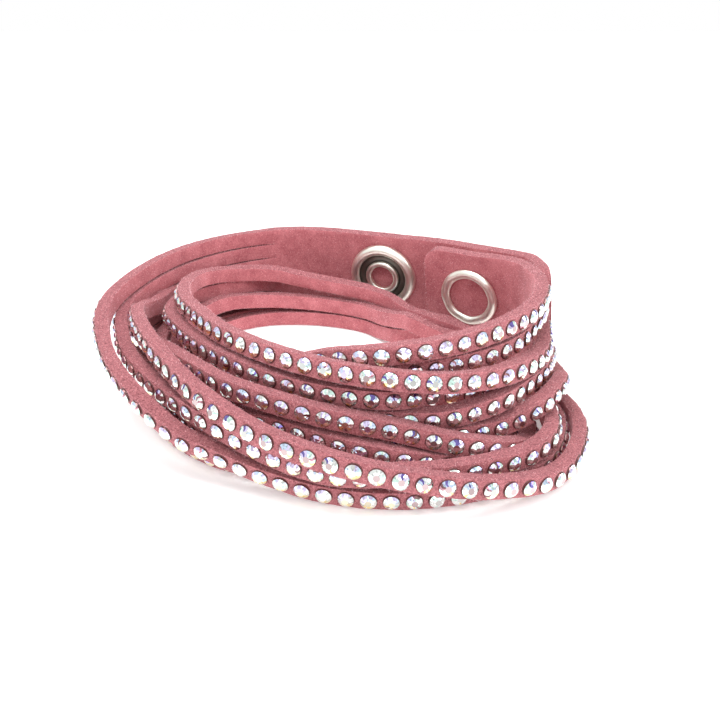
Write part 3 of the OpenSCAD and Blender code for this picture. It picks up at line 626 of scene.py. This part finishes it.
stone_points = np.array([p for ring in STONE_RINGS for p in stone_ring(*ring)])
table_rim, mid_ring, girdle_top, girdle_foot = [STONE_SIDES * i for i in range(len(STONE_RINGS))]
crown = staggered_band(table_rim, mid_ring, True) + staggered_band(mid_ring, girdle_top, False)
girdle = straight_band(girdle_top, girdle_foot)
stone_facets = [tuple(range(STONE_SIDES))] + crown + girdle
print(len(stone_facets), "facets a stone")

# %% [markdown]
# ## Colours of the rainbow coat, with painted reflections
# Each direction of a stone gets its own colour, partly the coat's own and partly a painted reflection of what
# lies that way: lilac and blue where a facet leans up the strand, cream and amber where it leans down, mint
# and white between. One narrow wedge is dark, a painted reflection of something dark. These directions drift
# slowly along a strand, so neighbouring stones look related, while every facet still differs a little in
# brightness, which is painted reflection too. The small table often has a dusky suede colour, a painted
# reflection of the suede. A shader can make such colours from a thin film, but only for its own renderer.
# Here they are stored on the facets, so they also reach the exported model.

# %% Colours and how they drift along a strand
MINT, WHITE, CREAM = (0.68, 0.92, 0.83), (0.93, 0.97, 0.94), (0.97, 0.90, 0.66)
LILAC, BLUE, INDIGO = (0.76, 0.68, 0.97), (0.64, 0.78, 0.98), (0.15, 0.11, 0.42)
AMBER, ROSE, BROWN = (0.96, 0.74, 0.30), (0.50, 0.22, 0.28), (0.26, 0.11, 0.12)
PAINTED_SUEDE_REFLECTION, GREY = (0.46, 0.34, 0.35), (0.66, 0.66, 0.64)
GIRDLE_TINT = (0.20, 0.08, 0.08)
DRIFT_A_STONE, DRIFT_A_CHANNEL, DRIFT_GAIN = 0.17, 5.31, 1.9
STYLE_CHANNEL, WEDGE_CHANNEL = 40, 20


def drift(step, channel):
    """A smooth random value from about -1 to 1 that changes slowly from stone to stone."""
    value = noise.noise(Vector((step * DRIFT_A_STONE, channel * DRIFT_A_CHANNEL, 2.7)))
    return max(-1.0, min(1.0, DRIFT_GAIN * value))


print("drift along strand 1:", [round(drift(step, 0), 2) for step in range(0, 60, 10)])

# %% The colour of one slice of a stone
STRONG_LEAN, SLIGHT_LEAN = 0.5, 0.35
SOFT_STYLE, WEDGE_STYLE = -0.25, 0.15
PAINTED_DARK_REFLECTION_SHARE = 0.06


def slice_pool(style, lean):
    """The colours to draw from. lean is 1 for a facet that looks up the strand's face and -1 for down."""
    # leaning facets mix the coat's own colour with a painted reflection of what lies above or below them
    pool = [WHITE, WHITE, MINT, MINT, WHITE, GREY]
    if style < SOFT_STYLE and abs(lean) > SLIGHT_LEAN:
        pool = [LILAC, LILAC, BLUE, WHITE] if lean > 0 else [CREAM, CREAM, AMBER, WHITE]
    elif lean > STRONG_LEAN:
        pool = [LILAC, BLUE, WHITE, MINT, WHITE]
    elif lean < -STRONG_LEAN:
        pool = [WHITE, CREAM, WHITE, MINT, AMBER]
    # a few facets are brown, rose or grey: a painted reflection of dark surroundings
    return [BROWN, ROSE, GREY] if random.random() < PAINTED_DARK_REFLECTION_SHARE else pool


def slice_colour(style, turn, wedge_turn, wedge_width, dark_reflection_colour):
    pool = slice_pool(style, math.sin(turn))
    off_wedge = abs(math.remainder(turn - wedge_turn, math.tau))
    return dark_reflection_colour if off_wedge < wedge_width else random.choice(pool)


print("a stone of soft style is tinted when its style is under", SOFT_STYLE)

# %% Tint of each facet
JITTER = 0.25
WEDGE_MIDDLE, WEDGE_SWING = 95, 50
WEDGE_WIDTH = 0.22
ROSE_WEDGE = -0.3
# every facet is dimmed by one of these factors, a painted reflection of darker surroundings
PAINTED_REFLECTION_DIMMING = [1.0, 1.0, 0.93, 0.84, 0.68]


def stone_tints(step, lane, turns):
    """One colour for every facet, where turns holds each facet's direction round the stone."""
    style = drift(step, lane + STYLE_CHANNEL) + random.gauss(0, JITTER)
    # the dark wedge is a painted reflection of something dark; its place and colour drift along the strand
    wedge_turn = math.radians(WEDGE_MIDDLE + WEDGE_SWING * drift(step, lane)) + random.gauss(0, JITTER)
    wedge_width = WEDGE_WIDTH if style > WEDGE_STYLE else 0.0
    dark_reflection_colour = INDIGO if drift(step, lane + WEDGE_CHANNEL) > ROSE_WEDGE else ROSE
    offset = random.random()
    shares = {}
    tints = []
    for turn in turns:
        if turn is None:
            base = GIRDLE_TINT
        elif turn == "table":
            # a dusky table colour is a painted reflection of the suede
            base = random.choice([WHITE, CREAM, LILAC] if style < SOFT_STYLE else [PAINTED_SUEDE_REFLECTION, PAINTED_SUEDE_REFLECTION, GREY])
        else:
            slice_number = int((turn / math.tau + 1) * STONE_SIDES + offset)
            if slice_number not in shares:
                shares[slice_number] = slice_colour(style, turn, wedge_turn, wedge_width, dark_reflection_colour)
            base = shares[slice_number]
        dim = random.choice(PAINTED_REFLECTION_DIMMING)
        tints.append(tuple(c * dim for c in base) + (1.0,))
    return tints


def turn_of(facet):
    x, y, _ = stone_points[list(facet)].mean(0)
    return math.atan2(y, x)


facet_turns = ["table"] + [turn_of(facet) for facet in crown] + [None] * len(girdle)
print("sample tint:", stone_tints(0, 0, facet_turns)[3])

# %% [markdown]
# ## Stones along a strand
# The stones sit at equal steps measured along the strand, so the step is a length, not an angle. Each one is
# turned to a random angle and tilted by a degree or two, as set stones are. A thin dark ring goes
# round each stone where it sinks into the suede.

# %% Places of the stones on one strand
STONE_STEP = 2.55
FIRST_STONE = 2.2
ANGLE_STEP = 0.25


def stone_places(table):
    angles = np.arange(SLIT_START, SLIT_END, ANGLE_STEP)
    spot, along, outward, upward = route_frame(table, angles)
    face = spot + outward * HALF
    run = np.concatenate([[0], np.cumsum(np.linalg.norm(np.diff(face, axis=0), axis=1))])
    count = int((run[-1] - 2 * FIRST_STONE) / STONE_STEP)
    at = np.interp(FIRST_STONE + STONE_STEP * np.arange(count + 1), run, angles)
    return route_frame(table, at)


print("stones a strand:", [len(stone_places(table)[0]) for table in lane_tables])

# %% The dark ring round a stone
# radius, and height above the suede, in millimetres
RIM_PROFILE = [(STONE_RADIUS * 0.9, 0.12), (STONE_RADIUS + 0.03, 0.10), (STONE_RADIUS + 0.09, -0.04)]
dark_rim_facets = straight_band(0, STONE_SIDES) + straight_band(STONE_SIDES, 2 * STONE_SIDES)


def dark_rim_points(c, x, n, y):
    """The ring's points round the centre c, where n points out of the suede."""
    ring = []
    for radius, height in RIM_PROFILE:
        for i in range(STONE_SIDES):
            t = math.tau * i / STONE_SIDES
            ring.append(c + (HALF + height) * n + radius * (math.cos(t) * x + math.sin(t) * y))
    return ring


print(len(dark_rim_facets), "faces a ring of glue")

# %% One strand's stones as one mesh
STONE_TILT = 2.0
STONE_SIZES = (0.97, 1.03)
STONE_SINKS = 0.02
CRYSTAL, DARK_RIM = 0, 1


def build_stones(lane):
    points, faces, tints, finishes = [], [], [], []
    for step, (c, x, n, y) in enumerate(zip(*stone_places(lane_tables[lane]))):
        tilt = Matrix.Rotation(math.radians(random.gauss(0, STONE_TILT)), 3, "X") @ \
            Matrix.Rotation(math.radians(random.gauss(0, STONE_TILT)), 3, "Y")
        spin = random.uniform(0, math.tau)
        turn = np.array(tilt @ Matrix.Rotation(spin, 3, "Z")).T
        local = stone_points * random.uniform(*STONE_SIZES) @ turn
        first = len(points)
        points.extend(c + (HALF - STONE_SINKS) * n + local @ np.stack([x, y, n]))
        faces.extend(tuple(first + i for i in facet) for facet in stone_facets)
        turned = [t + spin if isinstance(t, float) else t for t in facet_turns]
        tints.extend(stone_tints(step, lane, turned))
        first = len(points)
        points.extend(dark_rim_points(c, x, n, y))
        faces.extend(tuple(first + i for i in facet) for facet in dark_rim_facets)
        tints.extend([(*GIRDLE_TINT, 1.0)] * len(dark_rim_facets))
        finishes.extend([CRYSTAL] * len(stone_facets) + [DARK_RIM] * len(dark_rim_facets))
    return points, faces, tints, finishes


print("stones tilt by about", STONE_TILT, "degrees and vary in size from", *STONE_SIZES)

# %% [markdown]
# ## Crystal and dark rim
# A flat-back crystal has a mirror foil under clear glass. Most light comes back from the foil in the colour
# of the coat, and the polished top adds a hard white shine. Light traced through real glass would need every
# hidden facet and many samples. A tinted metal under a clear coat gives the same two reflections at once.
# The ring round each stone is a plain dark rim.

# %% Crystal and dark rim materials
def make_crystal():
    material, nodes, links, shader = new_material("coated_crystal", {
        "Metallic": 0.95, "Roughness": 0.08, "IOR": 1.55,
        "Coat Weight": 1.0, "Coat Roughness": 0.02, "Coat IOR": 1.6})
    tint = nodes.new("ShaderNodeAttribute")
    tint.attribute_name = "tint"
    # the tint holds each facet's coat colour together with its painted reflection
    links.new(tint.outputs["Color"], shader.inputs["Base Color"])
    return material


coated_crystal = make_crystal()
dark_rim_edge = new_material("dark_rim_edge", {"Base Color": (0.12, 0.035, 0.035, 1), "Roughness": 0.45})[0]
print("stone finishes:", coated_crystal.name, dark_rim_edge.name)

# %% Set the stones
for lane in range(LANES):
    points, faces, tints, finishes = build_stones(lane)
    mesh = bpy.data.meshes.new(f"crystals_{lane + 1}")
    mesh.from_pydata([tuple(p * MM) for p in points], [], faces)
    tint = mesh.attributes.new("tint", "FLOAT_COLOR", "FACE")
    tint.data.foreach_set("color", np.array(tints).ravel())
    mesh.polygons.foreach_set("material_index", finishes)
    mesh.materials.append(coated_crystal)
    mesh.materials.append(dark_rim_edge)
    stones = add_object(f"crystals_{lane + 1}", mesh)
    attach(stones, "root")
    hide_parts(f"crystal_row_{lane + 1}")
    print(stones.name, len(mesh.polygons), "facets")

# %% [markdown]
# ## Press snaps
# A ring snap has four pressed metal parts. A prong ring holds a socket through the suede on one side, and
# another ring holds a stud on the other. Pressed sheet metal has rounded rims, so each part is turned from a
# profile whose corners are rounded, the way a lathe or a die would leave them.

# %% Profiles of the snap parts, as radius and height in millimetres above the suede
SOCKET = [(2.05, 0), (6, 0), (6, 0.6), (5.7, 1.15), (5.2, 1.4), (4.7, 1.35), (4.3, 1.0), (4.1, 0.2),
          (3.2, 0.2), (3.05, 1.0), (2.75, 1.25), (2.3, 1.2), (2.05, 0.9)]
RING = [(3.45, 0), (5, 0), (5, 0.35), (4.6, 0.7), (4.2, 0.8), (3.8, 0.7), (3.45, 0.4)]
STUD = [(0, 0), (4.2, 0), (4.2, 0.2), (3.9, 0.45), (1.6, 0.5), (1.5, 0.9), (1.8, 1.3), (1.7, 1.5),
        (1.3, 1.7), (0, 1.7)]
print("snap diameters in mm:", 2 * SOCKET[1][0], 2 * RING[1][0], 2 * STUD[1][0])

# %% A turned part from its profile
SEGMENTS = 96
DENT_DEPTH = 0.07
GROOVE_FROM, GROOVE_TO = 3.1, 4.3
FLAT_BACK = 0.05


def rounded(profile, closed, share=0.28):
    """Cuts every corner of a profile twice, which leaves a smooth curve."""
    pts = [Vector(p) for p in profile]
    for _ in range(2):
        out = []
        for i in range(len(pts) if closed else len(pts) - 1):
            a, b = pts[i], pts[(i + 1) % len(pts)]
            out += [a.lerp(b, share), a.lerp(b, 1 - share)]
        pts = out if closed else [pts[0]] + out + [pts[-1]]
    return pts


def turned_mesh(name, profile, closed, dents):
    """dents is how many shallow marks the press leaves round the rim."""
    pts = rounded(profile, closed)
    verts, faces, in_groove = [], [], []
    for i in range(SEGMENTS):
        t = math.tau * i / SEGMENTS
        dip = DENT_DEPTH * math.cos(dents * t) if dents else 0
        for radius, height in pts:
            r = (radius + dip * min(1, height)) * MM
            verts.append((r * math.cos(t), r * math.sin(t), height * (1 + dip) * MM))
    n = len(pts)
    for i in range(SEGMENTS):
        a, b = i * n, (i + 1) % SEGMENTS * n
        for j in range(n if closed else n - 1):
            k = (j + 1) % n
            faces.append((a + j, b + j, b + k, a + k))
            middle = (pts[j] + pts[k]) / 2
            # faces at the bottom of a socket's groove take the dark nickel: painted shade for the recess
            groove_here = GROOVE_FROM < middle.x < GROOVE_TO and middle.y > FLAT_BACK
            in_groove.append(int(profile is SOCKET and groove_here))
    mesh = bpy.data.meshes.new(name)
    mesh.from_pydata(verts, [], faces)
    mesh.polygons.foreach_set("use_smooth", [True] * len(faces))
    mesh.polygons.foreach_set("material_index", in_groove)
    return mesh


print("points in the rounded profiles:", [len(rounded(p, True)) for p in (SOCKET, RING)])

# %% [markdown]
# ## Nickel plate
# Nickel plate is grey with a slight yellow cast. It has fine scuffs, so its roughness varies. The bottom of a
# socket's groove gets a dark material of its own, which is painted shade for the recess.

# %% Nickel
SCUFFS_A_METRE = 900


def make_nickel():
    material, nodes, links, shader = new_material("nickel_plate", {
        "Base Color": (0.90, 0.91, 0.82, 1), "Metallic": 1.0})
    place = nodes.new("ShaderNodeTexCoord")
    scuff = nodes.new("ShaderNodeTexNoise")
    set_inputs(scuff, {"Scale": SCUFFS_A_METRE, "Detail": 4})
    links.new(place.outputs["Object"], scuff.inputs["Vector"])
    rough = nodes.new("ShaderNodeMapRange")
    set_inputs(rough, {"From Min": 0.3, "From Max": 0.7, "To Min": 0.30, "To Max": 0.42})
    links.new(scuff.outputs["Fac"], rough.inputs["Value"])
    links.new(rough.outputs["Result"], shader.inputs["Roughness"])
    return material


nickel = make_nickel()
# a dark nickel for the socket's groove, painted shade for the recess
painted_shade_nickel = new_material("nickel_groove_painted_shade", {
    "Base Color": (0.20, 0.19, 0.165, 1), "Metallic": 1.0, "Roughness": 0.5})[0]
print("snap finishes:", nickel.name, painted_shade_nickel.name)

# %% Put a snap part on the strap
SNAP_HEIGHT = 8.3


def snap_axes(table, angle):
    """The snap's centre on the strap's middle, and its axes: along, up the face, and out of it."""
    spot, along, outward, upward = [v[0] for v in route_frame(table, [angle])]
    level = math.sqrt(1 - outward[2]**2)
    centre = spot + (SNAP_HEIGHT + CAD_SHIFT[2] - spot[2]) / level * upward
    return centre, along, upward, outward


def place_snap(name, node, profile, dents, angle, height, flipped):
    centre, along, upward, outward = snap_axes(lane_tables[MIDDLE_LANE], angle)
    side = -1 if flipped else 1
    turn = Matrix.Identity(4)
    for row in range(3):
        turn[row][0], turn[row][1], turn[row][2] = along[row], upward[row] * side, outward[row] * side
        turn[row][3] = (centre[row] + outward[row] * height) * MM
    mesh = turned_mesh(name, profile, profile is not STUD, dents)
    mesh.transform(turn)
    mesh.materials.append(nickel)
    mesh.materials.append(painted_shade_nickel)
    part = add_object(name, mesh)
    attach(part, "root")
    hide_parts(node)
    print(name, "at", [round(v, 1) for v in centre])


print("snap centres lie", round(SNAP_HEIGHT + CAD_SHIFT[2], 2), "mm above the floor")

# %% Place the snap parts
SNAP_SEAT = HALF + 0.16
TAB_SPACING = 4.2
FREE_SOCKET_AT, CLOSED_SNAP_AT = 73.0, 754.0
RING_DENTS = 8
# piece, node, profile, dents, angle, height above the strap's middle, whether its face looks inwards
SNAP_PARTS = [
    ["free_socket", "socket_1", SOCKET, 0, FREE_SOCKET_AT, -SNAP_SEAT, True],
    ["free_ring", "ring_1", RING, RING_DENTS, FREE_SOCKET_AT, SNAP_SEAT, False],
    ["stud_ring", "ring_b", RING, RING_DENTS, CLOSED_SNAP_AT, -SNAP_SEAT, True],
    ["snap_stud", "stud", STUD, 0, CLOSED_SNAP_AT, SNAP_SEAT, False],
    ["closed_socket", "socket_2", SOCKET, 0, CLOSED_SNAP_AT, TAB_SPACING - SNAP_SEAT, True],
    ["closed_ring", "ring_2", RING, RING_DENTS, CLOSED_SNAP_AT, TAB_SPACING + SNAP_SEAT, False]]
for row in SNAP_PARTS:
    place_snap(*row)

# %% [markdown]
# ## Floor and light
# The photograph has a white, faintly reflective surface and soft light from all over, brightest from above.
# The floor is a large plain sheet and the world is an even white. A big area light above gives the stones
# their sparkle and the strap its soft shade, and weaker ones at the right and in front fill that shade. A
# small one over the hollow lights the inner faces at the back, the brightest suede in the photograph.

# %% Floor
FLOOR_SIZE = 3.0
floor_corners = [(x * FLOOR_SIZE, y * FLOOR_SIZE, 0) for x, y in ((-1, -1), (1, -1), (1, 1), (-1, 1))]
floor_mesh = bpy.data.meshes.new("floor")
floor_mesh.from_pydata(floor_corners, [], [(0, 1, 2, 3)])
floor = add_object("floor", floor_mesh)
floor_mesh.materials.append(new_material("white_surface", {
    "Base Color": (0.96, 0.96, 0.96, 1), "Roughness": 0.28, "Specular IOR Level": 0.35,
    "Emission Color": (1, 1, 1, 1), "Emission Strength": 0.3})[0])
print("floor corners:", floor_corners)

# %% Light
world = bpy.data.worlds.new("white_room")
bpy.context.scene.world = world
world.use_nodes = True
set_inputs(world.node_tree.nodes["Background"], {"Color": (1, 1, 1, 1), "Strength": 1.0})

# name, place, size and aim in millimetres, power in watts
AREA_LIGHTS = [
    ["softbox_above", (-60, 40, 260), (220, 160), (0, 0, 0), 0.4],
    ["softbox_right", (230, -60, 150), (120, 120), (0, 0, 0), 0.2],
    ["softbox_front", (-40, -300, 170), (240, 120), (0, 0, 0), 0.1],
    ["softbox_inside", (0, -25, 110), (60, 60), (12, 34, 8), 0.045]]
for name, place_mm, size_mm, aim_mm, power in AREA_LIGHTS:
    data = bpy.data.lights.new(name, "AREA")
    data.shape = "RECTANGLE"
    data.size, data.size_y = size_mm[0] * MM, size_mm[1] * MM
    data.energy = power
    light = add_object(name, data)
    light.location = Vector(place_mm) * MM
    light.rotation_euler = (Vector(aim_mm) * MM - light.location).to_track_quat("-Z", "Y").to_euler()

scene = bpy.context.scene
scene.view_settings.view_transform = "Standard"
scene.view_settings.exposure = 0.0
